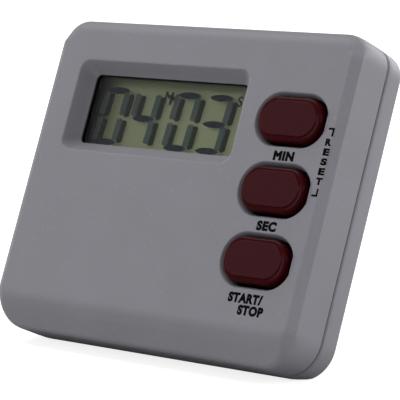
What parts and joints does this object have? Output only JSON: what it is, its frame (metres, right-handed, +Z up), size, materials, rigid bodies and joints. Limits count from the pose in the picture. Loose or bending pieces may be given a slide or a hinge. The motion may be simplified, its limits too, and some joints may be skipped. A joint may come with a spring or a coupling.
{
  "type": "lab timer",
  "caption": "Small digital count-down timer with a recessed display beside a column of push buttons, leaning back on a fold-out stand.",
  "frame": {"origin": "bottom centre of the bounding box, on the table under the timer as it leans back on its open stand", "axes": "+X to the right as seen from the front, -Y towards the viewer, +Z up; the face leans back 22.4 degrees from upright"},
  "size_m": [0.0696, 0.0332, 0.0588],
  "materials": {
    "case": "fine matte moulded texture",
    "clear_window": "clear polished",
    "black_frame": "fine matte",
    "display_glass": "clear, slightly green",
    "reflector": "silky diffuse",
    "elastic_connector": "matte",
    "button": "satin",
    "dome_rubber": "matte",
    "carbon": "matte",
    "board": "solder mask, satin",
    "resin": "glossy",
    "steel": "bright plated",
    "capacitor": "matte",
    "resistor": "matte",
    "brass": "bright",
    "ceramic": "matte",
    "red_wire": "satin",
    "black_wire": "satin",
    "magnet": "dark, satin",
    "cell_door": "fine matte moulded texture",
    "stand": "fine matte moulded texture"
  },
  "bodies": {
    "case_body": {"front_casing": "case", "rear_casing": "case", "display_window": "clear_window", "display_frame": "black_frame", "lcd_front_glass": "display_glass", "lcd_rear_glass": "display_glass", "lcd_reflector": "reflector", "connector_strip_upper": "elastic_connector", "connector_strip_lower": "elastic_connector", "minute_dome": "dome_rubber", "second_dome": "dome_rubber", "start_stop_dome": "dome_rubber", "circuit_board": "board", "controller_resin_drop": "resin", "quartz_crystal": "steel", "button_cell": "steel", "cell_contact_negative": "steel", "cell_contact_positive": "steel", "hinge_pin": "steel", "case_screw_1": "steel", "case_screw_2": "steel", "case_screw_3": "steel", "case_screw_4": "steel", "board_screw_1": "steel", "board_screw_2": "steel", "timing_capacitor": "capacitor", "chip_resistor": "resistor", "sounder_disc": "brass", "sounder_ceramic": "ceramic", "sounder_wire_left": "red_wire", "sounder_wire_right": "black_wire", "magnet_left": "magnet", "magnet_right": "magnet"},
    "minute_key": {"minute_button": "button", "minute_contact_pill": "carbon"},
    "second_key": {"second_button": "button", "second_contact_pill": "carbon"},
    "start_stop_key": {"start_stop_button": "button", "start_stop_contact_pill": "carbon"},
    "stand_leg": {"stand": "stand"},
    "cell_cover": {"cell_door": "cell_door"}
  },
  "joints": [
    {"name": "minute_press", "type": "slide", "parent": "case_body", "child": "minute_key", "axis": [0, 0.9245, -0.3811], "range_m": [0, 0.0006], "deforming": ["minute_dome"]},
    {"name": "second_press", "type": "slide", "parent": "case_body", "child": "second_key", "axis": [0, 0.9245, -0.3811], "range_m": [0, 0.0006], "deforming": ["second_dome"]},
    {"name": "start_stop_press", "type": "slide", "parent": "case_body", "child": "start_stop_key", "axis": [0, 0.9245, -0.3811], "range_m": [0, 0.0006], "deforming": ["start_stop_dome"]},
    {"name": "stand_fold", "type": "hinge", "parent": "case_body", "child": "stand_leg", "pos_m": [0, 0.00755, 0.03555], "axis": [1, 0, 0], "range_deg": [-31.45, 0]},
    {"name": "cell_door_turn", "type": "hinge", "parent": "case_body", "child": "cell_cover", "pos_m": [-0.0218, 0.0008, 0.01497], "axis": [0, 0.9245, -0.3811], "range_deg": [0, 45]}
  ]
}
